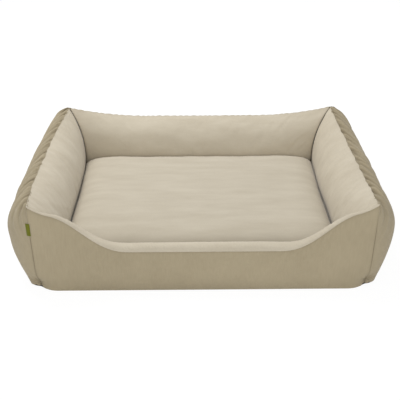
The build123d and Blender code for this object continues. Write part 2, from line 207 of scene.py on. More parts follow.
def woven_material(name, dark, light, pitch, relief_depth, on_cut_cloth=True):
    material, tree, shader = new_material(name)
    if on_cut_cloth:
        place = tree.nodes.new("ShaderNodeTexCoord").outputs["UV"]
    else:
        place = object_place(tree, Rotation=(math.radians(-90), 0, 0))
    weave = group_node(tree, plain_weave, Place=place, Pitch=pitch)
    drift = group_node(tree, dye_drift, Size=dye_drift_size)
    tone = blended(tree, drift.outputs["Amount"], dye_drift_share, weave.outputs["Shade"])
    set_inputs(
        tree,
        shader,
        Base_Color=shaded_at_seams(tree, colour_node(tree, tone, dark, light), 0.75),
        Roughness=spread_node(tree, weave.outputs["Relief"], 0, 1, 0.96, 0.8),
        Specular_IOR_Level=0.2,
        Sheen_Weight=0.1,
        Sheen_Roughness=0.5,
    )
    set_bump(tree, shader, weave.outputs["Relief"], relief_depth, 0.5)
    return material


outer_cloth = woven_material(
    "outer_cloth", outer_taupe_dark, outer_taupe_light, outer_thread_pitch, outer_thread_relief
)


# Outer panels of the sides. Each starts at the upright front seam, swells out and runs back round
# half of the rear corner. The left one is stuffed a little fuller than the right one.
left, right = -1, 1
base_low, base_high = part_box("base_panel")
base_top = base_high[2]
corner_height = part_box("left_panel")[1][2]
foot_height = 0.0008
outer_foot = 0.030
ridge_x = base_high[0] - outer_foot
ridge_y = base_high[1] - outer_foot
front_y = base_low[1]
side_reach = {left: 0.0755, right: 0.0705}
side_reach_gain = {left: 0.0125, right: 0.0115}
side_reach_run = 0.45
side_crest = {left: 0.231, right: 0.226}
side_crest_shift = {left: 0.020, right: 0.010}
corner_reach = 0.081
outer_bulge_height = 0.143
ear_run = 0.25
seam_ripple = {"side": 0.0034, "back": 0.0009}
ripple_scales = (40, 17, 45)
swell_depth = 0.095
swell_length = 0.112
swell_start = 0.0015
swell_turn_share = 0.95
front_foot_depth = 0.045
foot_tuck = 0.001
foot_tuck_at_seam = 0.021
foot_tuck_height = 0.085
foot_tuck_run = 0.07
gather_start = 0.007
gather_pitch = 0.0170
gather_depth = 0.0044
gather_length = 0.040
pleat_pitch = 0.044
pleat_depth = 0.0062
pleat_length = 0.055
pucker_place = Vector((0.4255, -0.333, 0.020))
pucker_size = 0.020
depth_of_pucker = 0.0085
pleat_of_pucker = 0.0036
outer_lumps = 0.0022
sewn_width = 0.0015
ease_run = 0.07
lump_run = 0.03
length_taken_at = 0.35
measuring_steps = 60
stuffing_frames = 20
seam_line = 0.0018
front_seam_shade = 0.30
side_ridge_shade = 0.38
side_ridge_shade_run = 0.028
side_fold_shade = 75
pucker_shade = 0.55
panel_surfaces = {}


def clamped(share):
    return min(1.0, max(0.0, share))


def wander(*place):
    return noise.noise(Vector(place))


def lumpiness(place, broad, fine, fine_share, seeds):
    """Broad soft lumps, with smaller ones on them."""
    lump = noise.noise(place * broad + Vector((seeds[0], 0, 0)))
    return lump + fine_share * noise.noise(place * fine + Vector((0, seeds[1], 0)))


def fade(distance, run):
    return max(0.0, 1 - distance / run) ** 2


def rounded(distance, depth):
    """How far round a soft corner has come, from 0 to 1, at a distance from where it starts."""
    left_over = swell_turn_share * max(0.0, 1 - distance / depth)
    start = math.sqrt(1 - swell_turn_share**2)
    return (math.sqrt(1 - left_over**2) - start) / (1 - start)


def half_section(reach, bulge_height, foot, seam_height, seam_at, turn):
    """Across and up on one half of a bolster's section, from its seam at turn 0 to its foot at 1."""
    rise, drop = seam_height - bulge_height, bulge_height - foot_height
    upper = ((reach - seam_at) ** 2 + rise**2) / (2 * (reach - seam_at))
    lower = ((reach - foot) ** 2 + drop**2) / (2 * (reach - foot))
    upper_angle = math.atan2(rise, seam_at - reach + upper)
    lower_angle = math.atan2(drop, foot - reach + lower)
    along = turn * (upper * upper_angle + lower * lower_angle)
    if along < upper * upper_angle:
        angle = upper_angle - along / upper
        return reach - upper + upper * math.cos(angle), bulge_height + upper * math.sin(angle)
    angle = (along - upper * upper_angle) / lower
    return reach - lower + lower * math.cos(angle), bulge_height - lower * math.sin(angle)


def tuck(amount, height):
    """How far the cloth is drawn in under the bed, near its foot."""
    return amount * max(0.0, 1 - height / foot_tuck_height) ** 2


def rippled(distance, seed, amount):
    """How far a gathered seam wanders sideways and up at a place along it."""
    fine, broad, rise = (distance * scale for scale in ripple_scales)
    sideways = wander(fine, seed, 0) + 0.5 * wander(broad, seed, 3)
    return amount * sideways, 0.5 * amount * wander(rise, 9, seed)


def side_seam(side, y):
    """Height of a side bolster's top seam, and how far it lies outside the ridge line."""
    near_ear = min(1.0, fade(y - front_y, ear_run) + fade(ridge_y - y, ear_run))
    sideways, upward = rippled(y, 2.0 + side, seam_ripple["side"])
    height = side_crest[side] + (corner_height - side_crest[side]) * near_ear
    shift = side_crest_shift[side] * (1 - near_ear) + sideways * min(1.0, 1.6 * (1 - near_ear))
    return height + upward * (1 - near_ear), shift


def side_panel_point(side, along, turn):
    straight = ridge_y - front_y - swell_depth
    distance = along * (swell_length + straight + corner_reach * math.pi / 4)
    swell, angle = 1.0, 0.0
    if distance < swell_length:
        first = math.acos(swell_turn_share)
        come = first + (math.pi / 2 - first) * distance / swell_length
        from_front = swell_depth * (1 - math.cos(come) / swell_turn_share)
        swell = (math.sin(come) - math.sin(first)) / (1 - math.sin(first))
    else:
        from_front = min(swell_depth + distance - swell_length, ridge_y - front_y)
        angle = max(0.0, distance - swell_length - straight) / corner_reach
    y = front_y + from_front
    seam_height, seam_at = side_seam(side, y)
    full_reach = side_reach[side] + side_reach_gain[side] * (1 - fade(from_front, side_reach_run))
    full_reach += (corner_reach - full_reach) * fade(ridge_y - y, ear_run)
    reach = swell_start + (full_reach - swell_start) * swell
    foot = swell_start / 2 + (outer_foot - swell_start / 2) * rounded(from_front, front_foot_depth)
    across, z = half_section(reach, outer_bulge_height, foot, seam_height, seam_at, turn)
    y += tuck(foot_tuck_at_seam * fade(from_front, foot_tuck_run), z)
    x = ridge_x + across * math.cos(angle)
    return Vector((side * x, y + across * math.sin(angle), z))


def only(obj):
    bpy.ops.object.select_all(action="DESELECT")
    obj.select_set(True)
    bpy.context.view_layer.objects.active = obj


def apply_modifiers(obj):
    only(obj)
    for modifier in list(obj.modifiers):
        bpy.ops.object.modifier_apply(modifier=modifier.name)


def shares(count, stops=()):
    """Even shares from 0 to 1, the nearest ones moved onto the given stops."""
    values = [i / count for i in range(count + 1)]
    for stop in stops:
        nearest = min(range(1, count), key=lambda i: abs(values[i] - stop))
        values[nearest] = stop
    return values


def new_grid(name, columns, rows):
    bpy.ops.object.select_all(action="DESELECT")
    bpy.ops.mesh.primitive_grid_add(x_subdivisions=columns, y_subdivisions=rows, size=1)
    bpy.context.object.name = name
    return bpy.context.object


def path_length(points):
    return sum((second - first).length for first, second in zip(points, points[1:]))


def cut_slit(mesh, places, opening):
    """Take out the faces of a sheet whose middles lie within the opening."""
    bpy.ops.object.mode_set(mode="EDIT")
    bpy.ops.mesh.select_all(action="DESELECT")
    bpy.ops.mesh.select_mode(type="FACE")
    bpy.ops.object.mode_set(mode="OBJECT")
    low, high, top, bottom = opening
    for face in mesh.polygons:
        along, turn = (sum(places[i][way] for i in face.vertices) / len(face.vertices) for way in (0, 1))
        face.select = low < along < high and top < turn < bottom
    bpy.ops.object.mode_set(mode="EDIT")
    bpy.ops.mesh.delete(type="FACE")
    bpy.ops.object.mode_set(mode="OBJECT")


def cut_sheet(name, point, facing, columns, rows, lumps, seed, opening=None):
    """A grid of cloth laid on the form that point(along, turn) gives, with a UV map in metres.

    The UV map's V is the distance down from the top seam. The group "sewn" has the points where the
    sheet is sewn, and the group "ease" says how near to them a point lies.
    """
    sheet = new_grid(name, len(columns) - 1, len(rows) - 1)
    mesh = sheet.data
    places = []
    for vertex in mesh.vertices:
        column = round((vertex.co.x + 0.5) * (len(columns) - 1))
        row = round((0.5 - vertex.co.y) * (len(rows) - 1))
        places.append((columns[column], rows[row]))
        vertex.co = point(*places[-1])
    mesh.update()
    middle = mesh.polygons[len(mesh.polygons) // 2 + len(columns) // 2]
    if middle.normal.dot(facing) < 0:
        mesh.flip_normals()
        mesh.update()
    length = path_length([point(share, length_taken_at) for share in shares(measuring_steps)])
    height = path_length([point(0.5, share) for share in shares(measuring_steps)])
    for loop, data in zip(mesh.loops, mesh.uv_layers.active.data):
        along, turn = places[loop.vertex_index]
        data.uv = (along * length, turn * height)
    sewn = sheet.vertex_groups.new(name="sewn")
    ease = sheet.vertex_groups.new(name="ease")
    normals = [vertex.normal.copy() for vertex in mesh.vertices]
    for vertex, normal, (along, turn) in zip(mesh.vertices, normals, places):
        edge = min(along * length, (1 - along) * length, turn * height, (1 - turn) * height)
        if opening:
            low, high, top, bottom = opening
            beside = max(low - along, along - high) * length
            below = max(top - turn, turn - bottom) * height
            edge = min(edge, math.hypot(max(beside, 0), max(below, 0)))
        if edge < sewn_width:
            sewn.add([vertex.index], 1.0, "REPLACE")
        ease.add([vertex.index], max(0.0, 1 - edge / ease_run), "REPLACE")
        lump = lumpiness(vertex.co, 10, 31, 0.35, (seed, seed))
        vertex.co += normal * lumps * lump * min(1.0, edge / lump_run)
    mesh.update()
    area = sum(face.area for face in mesh.polygons)
    if opening:
        cut_slit(mesh, places, opening)
    return sheet, length, height, area


def stuff(obj, pressure, furthest, **settings):
    """Let the filling blow the cloth out, and keep each point within reach of its start."""
    start = [vertex.co.copy() for vertex in obj.data.vertices]
    only(obj)
    modifier = obj.modifiers.new("stuffing", "CLOTH")
    cloth = modifier.settings
    cloth.quality = 5
    cloth.tension_stiffness = 12
    cloth.compression_stiffness = 12
    cloth.use_pressure = True
    cloth.uniform_pressure_force = pressure
    for name, value in settings.items():
        setattr(cloth, name, value)
    cloth.effector_weights.gravity = 0
    modifier.point_cache.frame_end = stuffing_frames
    for step in range(1, stuffing_frames + 1):
        bpy.context.scene.frame_set(step)
    apply_modifiers(obj)
    bpy.context.scene.frame_set(1)
    for vertex, began in zip(obj.data.vertices, start):
        moved = vertex.co - began
        if moved.length > 0:
            vertex.co = began + moved.normalized() * furthest * math.tanh(moved.length / furthest)


def stuff_sheet(sheet, pressure, slack, seam_slack, furthest):
    """The same for a sheet that is sewn down, and has some slack for the filling to take up."""
    groups = {"vertex_group_mass": "sewn", "vertex_group_shrink": "ease"}
    slacks = {"shrink_min": -slack, "shrink_max": -seam_slack}
    stuff(sheet, pressure, furthest, mass=0.2, shear_stiffness=6, bending_stiffness=0.1, **groups, **slacks)


def smooth_sheet(sheet):
    subdivision = sheet.modifiers.new("smooth", "SUBSURF")
    subdivision.levels = subdivision.render_levels = 1
    subdivision.boundary_smooth = "PRESERVE_CORNERS"
    apply_modifiers(sheet)


def cloth_spots(mesh):
    """Where each point lies on the flat cloth: how far along, and how far down from its top seam."""
    spots = [None] * len(mesh.vertices)
    for loop, data in zip(mesh.loops, mesh.uv_layers.active.data):
        spots[loop.vertex_index] = (data.uv[0], data.uv[1])
    return spots


def press_folds(sheet, depth_at, drawn_at=None):
    """Raise or sink the cloth by depth_at(along, down, place), and draw it in by drawn_at(place)."""
    mesh = sheet.data
    mesh.update()
    normals = [vertex.normal.copy() for vertex in mesh.vertices]
    for vertex, normal, (along, down) in zip(mesh.vertices, normals, cloth_spots(mesh)):
        place = vertex.co.copy()
        vertex.co += normal * depth_at(along, down, place)
        if drawn_at:
            vertex.co += drawn_at(place)
    mesh.update()


def surface_of(sheet):
    """The visible face of a sheet before it is thick, to keep what lies behind or beside it clear of it."""
    places = [vertex.co.copy() for vertex in sheet.data.vertices]
    return BVHTree.FromPolygons(places, [tuple(face.vertices) for face in sheet.data.polygons])


def write_seam(mesh, values):
    """Write the attribute "seam": how much painted shade each point gets, in a seam, a crease or a shadow."""
    mesh.attributes.new("seam", "FLOAT", "POINT").data.foreach_set("value", values)


# Painted shade for each sheet: its own seam and fold shade, and the shade in the corner pucker's pleats
def shade_seams(sheet, seam_at):
    values = []
    for vertex, (along, down) in zip(sheet.data.vertices, cloth_spots(sheet.data)):
        pinched = corner_pucker(vertex.co).length / (depth_of_pucker + pleat_of_pucker)
        values.append(clamped(seam_at(along, down, vertex.co) + pucker_shade * pinched**2))
    write_seam(sheet.data, values)


def give_thickness(sheet, material):
    thickness = sheet.modifiers.new("cloth", "SOLIDIFY")
    thickness.thickness = cloth_thickness
    thickness.offset = -1
    apply_modifiers(sheet)
    sheet.data.materials.clear()
    sheet.data.materials.append(material)
    bpy.ops.object.shade_smooth_by_angle(angle=math.radians(60))


def top_gathers(along, down, seed, pitch, depth, reach_down):
    """Short soft folds that run down from a gathered seam, each a little different."""
    phase = (along + 0.7 * down) / pitch + 0.7 * wander(along * 16, seed, 0)
    strength = max(0.15, 0.7 + 0.9 * wander(along * 27, seed, 4))
    longer = reach_down * (1 + 0.7 * wander(along * 21, 7, seed))
    wave = math.sin(2 * math.pi * phase) - 0.25
    return depth * strength * wave * min(1.0, down / gather_start) * math.exp(-down / longer)


def side_gathers(along, down, seed):
    """The side panels are gathered hard onto the lining: small folds between larger pleats."""
    fine = top_gathers(along, down, seed, gather_pitch, gather_depth, gather_length)
    coarse = top_gathers(along, down, seed + 30, pleat_pitch, pleat_depth, pleat_length)
    return (fine + coarse) * min(1.0, along / 0.05)


def corner_pucker(place):
    """The pinch where the upright front seam meets the base: the cloth is drawn in, with small pleats."""
    side = 1 if place.x > 0 else -1
    spot = Vector((side * pucker_place.x, pucker_place.y, pucker_place.z))
    away = place - spot
    spread = math.exp(-((away.length / pucker_size) ** 2))
    around = math.atan2(away.z, away.x * side)
    pleat = pleat_of_pucker * math.sin(7 * around + 1.2) * min(1.0, away.length / 0.012)
    inward = Vector((-side * 0.6, 0.75, 0.1))
    return inward * spread * (depth_of_pucker + pleat)

def side_shade(along, down, seed):
    """Painted shade: the cloth is darker below the gathered ridge, in its folds and along the upright front
    seam.
    """
    ridge = side_ridge_shade * math.exp(-down / side_ridge_shade_run) * min(1.0, along / 0.06)
    front_seam = front_seam_shade * math.exp(-along / seam_line)
    return ridge + front_seam - side_fold_shade * side_gathers(along, down, seed)


def finish_panel(panel, name):
    panel_surfaces[name] = surface_of(panel)
    give_thickness(panel, outer_cloth)
    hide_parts(name + "_panel")
    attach(panel, "border")


for side, name, seed in ((left, "left", 3.0), (right, "right", 17.0)):
    panel, length, height, area = cut_sheet(
        name + "_outer_panel",
        lambda along, turn, side=side: side_panel_point(side, along, turn),
        Vector((side, 0, 0)),
        shares(140),
        shares(52),
        outer_lumps,
        seed,
    )
    stuff_sheet(panel, pressure=2.5, slack=0.004, seam_slack=0.03, furthest=0.0045)
    smooth_sheet(panel)
    press_folds(panel, lambda along, down, place, seed=seed: side_gathers(along, down, seed), corner_pucker)
    shade_seams(panel, lambda along, down, place, seed=seed: side_shade(along, down, seed))
    finish_panel(panel, name)


# Back panel of the outer cover, cut from the same cloth. A slit low down in it holds the zip through
# which the filling goes in.
back_crest = 0.2145
back_crest_shift = 0.016
back_reach = 0.075
back_bulge_height = 0.135
back_corner_length = corner_reach * math.pi / 4
back_length = 2 * (ridge_x + back_corner_length)
back_seam_shade = 0.5
back_seam_line = 0.004
back_fold_shade = 90
back_gather = {"seed": 31.0, "pitch": 0.021, "depth": 0.0020, "reach_down": 0.030}
slit_overlap = {"top": 0.0006, "bottom": 0.0004}
tape_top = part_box("border_zip_tape_upper")[1]
tape_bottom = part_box("border_zip_tape_lower")[0]


def back_seam(x):
    """Height of the back bolster's top seam, and how far it lies behind the ridge line."""
    near_ear = fade(max(0.0, ridge_x - abs(x)), ear_run)
    sideways, upward = rippled(x, 7.0, seam_ripple["back"])
    height = back_crest + (corner_height - back_crest) * near_ear
    return height + upward * (1 - near_ear), (back_crest_shift + sideways) * (1 - near_ear)


def back_panel_point(along, turn):
    distance = (along - 0.5) * back_length
    side = 1 if distance > 0 else -1
    beyond = max(0.0, abs(distance) - ridge_x)
    ear = fade(max(0.0, ridge_x - abs(distance)), ear_run)
    seam_height, seam_at = back_seam(min(ridge_x, abs(distance)) * side)
    reach = back_reach + (corner_reach - back_reach) * ear
    bulge_height = back_bulge_height + (outer_bulge_height - back_bulge_height) * ear
    across, z = half_section(reach, bulge_height, outer_foot, seam_height, seam_at, turn)
    angle = beyond / corner_reach
    x = min(ridge_x, abs(distance)) + across * math.sin(angle)
    return Vector((side * x, ridge_y + across * math.cos(angle), z))


def turn_at_height(z):
    low, high = 0.5, 1.0
    for _ in range(40):
        middle = (low + high) / 2
        if back_panel_point(0.5, middle).z > z:
            low = middle
        else:
            high = middle
    return low


def back_gathers(along, down, place):
    return top_gathers(along, down, **back_gather)


slit = (
    0.5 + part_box("border_zip_tape_upper")[0][0] / back_length,
    0.5 + tape_top[0] / back_length,
    turn_at_height(tape_top[2] - slit_overlap["top"]),
    turn_at_height(tape_bottom[2] + slit_overlap["bottom"]),
)
panel, length, height, area = cut_sheet(
    "back_outer_panel",
    back_panel_point,
    Vector((0, 1, 0)),
    shares(170, slit[:2]),
    shares(52, slit[2:]),
    outer_lumps,
    29.0,
    slit,
)
stuff_sheet(panel, pressure=2.5, slack=0.004, seam_slack=0.025, furthest=0.004)
smooth_sheet(panel)
press_folds(panel, back_gathers)
shade_seams(
    panel,
    lambda along, down, place: back_seam_shade * math.exp(-down / back_seam_line)
    - back_fold_shade * back_gathers(along, down, place),
)
finish_panel(panel, "back")


# Front panel, of the same cloth. It is cut low in the middle for the dog to step over, and its top
# edge swings up to the corners in an S. Its foot is drawn in under the bed.
dip_height = 0.1195
dip_half_width = {left: 0.181, right: 0.190}
dip_rise_width = {left: 0.194, right: 0.188}
dip_rise_skew = 1.3
shoulder_height = 0.222
front_ear_run = 0.075
front_bulge = 0.010
front_bulge_at_seam = 0.001
front_half_width = ridge_x + 0.0005
front_tuck_run = 0.050
front_bend_place = 0.275
front_bend_run = 0.06
front_gather = {"seed": 43.0, "pitch": 0.026, "reach_down": 0.035}
front_gather_depth = 0.0004
front_gather_depth_at_bend = 0.0022
front_lumps = 0.0018
front_top_shade = 0.35
front_top_line = 0.0022
front_side_shade = 0.25


def front_seam_height(x):
    side = right if x > 0 else left
    share = clamped((abs(x) - dip_half_width[side]) / dip_rise_width[side]) ** dip_rise_skew
    wall = dip_height + (shoulder_height - dip_height) * share**2 * (3 - 2 * share)
    return wall + (corner_height - shoulder_height) * fade(ridge_x - abs(x), front_ear_run)


def front_tuck(x, z):
    near = fade(front_half_width - abs(x), front_tuck_run)
    return tuck(foot_tuck + (foot_tuck_at_seam - foot_tuck) * near, z)


def front_panel_point(along, turn):
    x = (2 * along - 1) * front_half_width
    seam_height = front_seam_height(x)
    outward = abs(x) / front_half_width
    bulge = front_bulge + (front_bulge_at_seam - front_bulge) * outward**4
    across, z = half_section(bulge, seam_height / 2, 0, seam_height, 0, turn)
    return Vector((x, front_y - across + front_tuck(x, z), z))


def front_gathers(along, down, place):
    """The top edge is eased on at its two bends, where faint folds run down from it."""
    bend = math.exp(-(((abs(place.x) - front_bend_place) / front_bend_run) ** 2))
    depth = front_gather_depth_at_bend * bend + front_gather_depth
    return top_gathers(along, down, depth=depth, **front_gather)


panel, length, height, area = cut_sheet(
    "front_outer_panel", front_panel_point, Vector((0, -1, 0)), shares(170), shares(36), front_lumps, 41.0
)
stuff_sheet(panel, pressure=1.0, slack=0.003, seam_slack=0.02, furthest=0.0035)
smooth_sheet(panel)
press_folds(panel, front_gathers, corner_pucker)
shade_seams(
    panel,
    lambda along, down, place: front_top_shade * math.exp(-down / front_top_line)
    + front_side_shade * math.exp(-min(along, length - along) / seam_line),
)
finish_panel(panel, "front")


# Lining of the well: a beige short-pile plush, one piece to each wall. Side and back pieces run from
# the top seam down to the base, and meet in mitred seams at the rear corners.
lining_dark = (0.470, 0.410, 0.310, 1)
lining_light = (0.660, 0.600, 0.485, 1)
side_inner_reach = {left: 0.0590, right: 0.0662}
back_inner_reach = 0.072
inner_corner_reach = {left: 0.0460, right: 0.0565}
inner_foot_inset = 0.022
inner_bulge_height = 0.115
cushion_half_width = {left: 0.3725, right: 0.3655}
cushion_corner_fall = {left: 0.032, right: 0.022}
cushion_fall_run = 0.16
# Painted shadow on the lining where the cushion meets it: its height at each wall and its width
contact_shadow_height = {"back": 0.1015, left: 0.0925, right: 0.0925}
contact_shadow_width = 0.0042
mitre_groove = 0.0016
mitre_groove_width = 0.0035
wall_thick = 0.036
wall_thin = 0.009
wall_full_half_width = 0.205
wall_ends_at = 0.4205
lining_overlap = 0.003
ear_fold_depth = 0.0030
ear_fold_pitch = 0.011
pile_patch_stretch = (5, 22, 12)
pile_brushed_share = 0.35
lining_lumps = 0.0020
side_lining_gather = {"pitch": 0.031, "depth": 0.0008, "reach_down": 0.030}
back_lining_gather = {"seed": 61.0, "pitch": 0.047, "depth": 0.0007, "reach_down": 0.050}
mitre_rounds = 8
mitre_shade = 0.9
mitre_line = 0.0016
lining_top_shade = 0.12
lining_top_line = 0.002
contact_shadow_strength = 0.75


def make_short_pile():
    """Short pile: its fine nap, and broad brushed patches where it lies another way."""
    group, _, result = new_group("short_pile", {}, ("Nap", "Brushed"))
    nap = noise_node(group, object_place(group), 700, 4)
    patches = noise_node(group, object_place(group, Scale=pile_patch_stretch), 1.3, 6, 0.62)
    set_inputs(group, result, Nap=nap, Brushed=spread_node(group, patches, 0.32, 0.68, 0, 1))
    return group


short_pile = make_short_pile()


def pile_material(name, dark, light):
    material, tree, shader = new_material(name)
    pile = group_node(tree, short_pile)
    tone = blended(tree, pile.outputs["Brushed"], pile_brushed_share, pile.outputs["Nap"])
    set_inputs(
        tree,
        shader,
        Base_Color=shaded_at_seams(tree, colour_node(tree, tone, dark, light), 0.85),
        Roughness=spread_node(tree, pile.outputs["Nap"], 0.3, 0.7, 1.0, 0.86),
        Specular_IOR_Level=0.1,
        Sheen_Weight=0.25,
        Sheen_Roughness=0.45,
    )
    set_bump(tree, shader, pile.outputs["Nap"], 0.0008, 0.4)
    return material


lining_cloth = pile_material("lining_cloth", lining_dark, lining_light)
lining_surfaces = {}


def wall_depth(x):
    """How thick the front wall is: full across the dip, thin where the side bolsters end on it."""
    thin = clamped((abs(x) - wall_full_half_width) / (wall_ends_at - wall_full_half_width))
    return wall_thick + (wall_thin - wall_thick) * thin


def inner_half(reach, side, to_mitre, seam, turn):
    """The inner half of a section; towards the mitre it thins to the reach that both walls share there."""
    reach = reach + (inner_corner_reach[side] - reach) * fade(max(0.0, to_mitre), ear_run)
    across, z = half_section(reach, inner_bulge_height, reach - inner_foot_inset, seam[0], -seam[1], turn)
    return across, max(z, base_top)


def side_lining_point(side, along, turn):
    y, across = front_y + along * (ridge_y - front_y), 0.0
    for _ in range(mitre_rounds):
        seam = side_seam(side, y + max(0.0, across) * along)
        across, z = inner_half(side_inner_reach[side], side, ridge_y - y - across, seam, turn)
        start = front_y + wall_depth(ridge_x - across) - lining_overlap
        y = start + along * (ridge_y - across - start)
    return Vector((side * (ridge_x - across), y, z))


def back_lining_point(along, turn):
    across_share = 2 * along - 1
    side = right if across_share > 0 else left
    x, across = across_share * ridge_x, 0.0
    for _ in range(mitre_rounds):
        seam = back_seam(x + max(0.0, across) * across_share)
        across, z = inner_half(back_inner_reach, side, ridge_x - abs(x) - across, seam, turn)
        x = across_share * (ridge_x - across)
    return Vector((x, ridge_y - across, z))


def contact_shadow_at(name, place):
    """Painted shadow along the line where the cushion's edge meets the lining all round the well, lower at its
    corners.
    """
    side = right if place.x > 0 else left
    height = contact_shadow_height["back" if name == "back" else side]
    if name == "back":
        near_corner = fade(max(0.0, cushion_half_width[side] - abs(place.x)), cushion_fall_run)
        height -= 0.9 * cushion_corner_fall[side] * near_corner
    return math.exp(-(((place.z - height) / contact_shadow_width) ** 2))


def shade_lining(lining, name, mitre_at):
    """Painted shade: dark in the mitred seams, along the cushion's contact line, and a little at the top seam.
    """
    shade_seams(
        lining,
        lambda along, down, place: mitre_shade * math.exp(-mitre_at(along) / mitre_line)
        + lining_top_shade * math.exp(-down / lining_top_line)
        + contact_shadow_strength * contact_shadow_at(name, place),
    )


def finish_lining(lining, name):
    lining_surfaces[name] = surface_of(lining)
    give_thickness(lining, lining_cloth)
    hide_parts(name + "_lining")
    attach(lining, "border")


def ear_folds(along, down):
    """Where the lining is turned in at the front peak, two or three short folds run along its end."""
    near_end = math.exp(-along / 0.014) * math.exp(-down / 0.05) * min(1.0, along / 0.003)
    return ear_fold_depth * math.sin(2 * math.pi * along / ear_fold_pitch) * near_end


for side, name, seed in ((left, "left", 5.0), (right, "right", 23.0)):
    lining, length, height, area = cut_sheet(
        name + "_inner_lining",
        lambda along, turn, side=side: side_lining_point(side, along, turn),
        Vector((-side, 0, 0)),
        shares(120),
        shares(50),
        lining_lumps,
        seed,
    )
    stuff_sheet(lining, pressure=2.0, slack=0.003, seam_slack=0.012, furthest=0.002)
    smooth_sheet(lining)
    press_folds(
        lining,
        lambda along, down, place, seed=seed, length=length: ear_folds(along, down)
        + top_gathers(along, down, seed, **side_lining_gather)
        - mitre_groove * math.exp(-(length - along) / mitre_groove_width),
    )
    shade_lining(lining, name, lambda along, length=length: length - along)
    finish_lining(lining, name)

lining, length, height, area = cut_sheet(
    "back_inner_lining", back_lining_point, Vector((0, -1, 0)), shares(150), shares(50), lining_lumps, 37.0
)
stuff_sheet(lining, pressure=2.0, slack=0.003, seam_slack=0.012, furthest=0.002)
smooth_sheet(lining)
press_folds(
    lining,
    lambda along, down, place: top_gathers(along, down, **back_lining_gather)
    - mitre_groove * math.exp(-min(along, length - along) / mitre_groove_width),
)
shade_lining(lining, "back", lambda along: min(along, length - along))
finish_lining(lining, "back")


# Front lining: the same plush. It comes up the inside of the low wall, rolls over its top and is
# sewn to the front panel a little below, so that from in front it shows as a light lip.
lip_rise = 0.0150
lip_rise_thin = 0.0035
lip_overhang = 0.0035
lip_back_drop = 0.006
lip_back_drop_thin = 0.048
lip_reach = ridge_x - 0.0005
lip_crown_share = 0.42
lip_foot_inset = 0.002
lip_arc_steps = 16
lip_back_steps = 12
lip_rib_depth = 0.0005
lip_rib_pitch = 0.009
lip_bend_at = 0.018
lip_bend_width = 0.015
lip_gather = {"seed": 71.0, "pitch": 0.023, "depth": 0.0008, "reach_down": 0.018}
lip_lumps = 0.0010
lip_seam_shade = 0.10
lip_seam_line = 0.0015
lip_lines = {}


def bezier(first, second, third, fourth, share):
    rest = 1 - share
    return first * rest**3 + second * 3 * rest**2 * share + third * 3 * rest * share**2 + fourth * share**3


def lip_line(along):
    """The lip's section at one place: evenly spaced points from its seam, over the top, to its foot."""
    x = (2 * along - 1) * lip_reach
    seam, depth = front_seam_height(x), wall_depth(x)
    thin = (wall_thick - depth) / (wall_thick - wall_thin)
    rise = lip_rise + (lip_rise_thin - lip_rise) * min(1.0, 1.2 * thin)
    over = lip_overhang * (1 - 0.6 * thin)
    drop = lip_back_drop + (lip_back_drop_thin - lip_back_drop) * thin
    at_seam, crown = Vector((0, seam)), Vector((lip_crown_share * depth, seam + rise))
    back, foot = Vector((depth, seam - drop)), Vector((depth - lip_foot_inset, base_top))
    rising = at_seam, Vector((-over, seam + 0.35 * rise)), Vector((0.05 * depth, seam + rise)), crown
    falling = crown, Vector((0.8 * depth, seam + rise)), Vector((depth, seam + 0.3 * rise)), back
    points = [bezier(*rising, share) for share in shares(lip_arc_steps)]
    points += [bezier(*falling, share) for share in shares(lip_arc_steps)[1:]]
    points += [back.lerp(foot, share) for share in shares(lip_back_steps)[1:]]
    return x, points


def front_lining_point(along, turn):
    if along not in lip_lines:
        lip_lines[along] = lip_line(along)
    x, points = lip_lines[along]
    runs = [(b - a).length for a, b in zip(points, points[1:])]
    left_over = turn * sum(runs)
    for run, first, second in zip(runs, points, points[1:]):
        if left_over <= run:
            break
        left_over -= run
    place = first.lerp(second, min(1.0, left_over / run))
    return Vector((x, front_y + place.x + front_tuck(x, place.y), place.y))


def lip_ribs(along, down):
    """The pile parts in fine slanting ribs where it is bent over the wall."""
    on_bend = math.exp(-(((down - lip_bend_at) / lip_bend_width) ** 2))
    return lip_rib_depth * math.sin(2 * math.pi * (along + 0.6 * down) / lip_rib_pitch) * on_bend


lining, length, height, area = cut_sheet(
    "front_inner_lining", front_lining_point, Vector((0, 0.6, 0.4)), shares(180), shares(44), lip_lumps, 53.0
)
stuff_sheet(lining, pressure=0.5, slack=0.002, seam_slack=0.012, furthest=0.0020)
smooth_sheet(lining)
press_folds(
    lining,
    lambda along, down, place: lip_ribs(along, down) + top_gathers(along, down, **lip_gather),
    corner_pucker,
)
shade_seams(lining, lambda along, down, place: lip_seam_shade * math.exp(-down / lip_seam_line))
finish_lining(lining, "front")


# Filling of the four walls: loose white polyester fibre, which the cover holds in shape.
filling_shade = (0.62, 0.62, 0.60, 1)
filling_white = (0.80, 0.80, 0.78, 1)
fill_clearance = 0.0034
fill_voxel = {"left": 0.008, "right": 0.008, "back": 0.008, "front": 0.005}
fill_draw = {"left": 0.005, "right": 0.005, "back": 0.005, "front": 0.001}
fill_above_base = 0.0005
near_enough = 0.016
filling_material, tree, shader = new_material("filling")
fibres = noise_node(tree, object_place(tree), 260, 6)
set_inputs(tree, shader, Base_Color=colour_node(tree, fibres, filling_shade, filling_white), Roughness=1.0)
set_bump(tree, shader, fibres, 0.001)


def merge_doubles(obj, distance):
    only(obj)
    bpy.ops.object.mode_set(mode="EDIT")
    bpy.ops.mesh.select_all(action="SELECT")
    bpy.ops.mesh.remove_doubles(threshold=distance)
    bpy.ops.object.mode_set(mode="OBJECT")


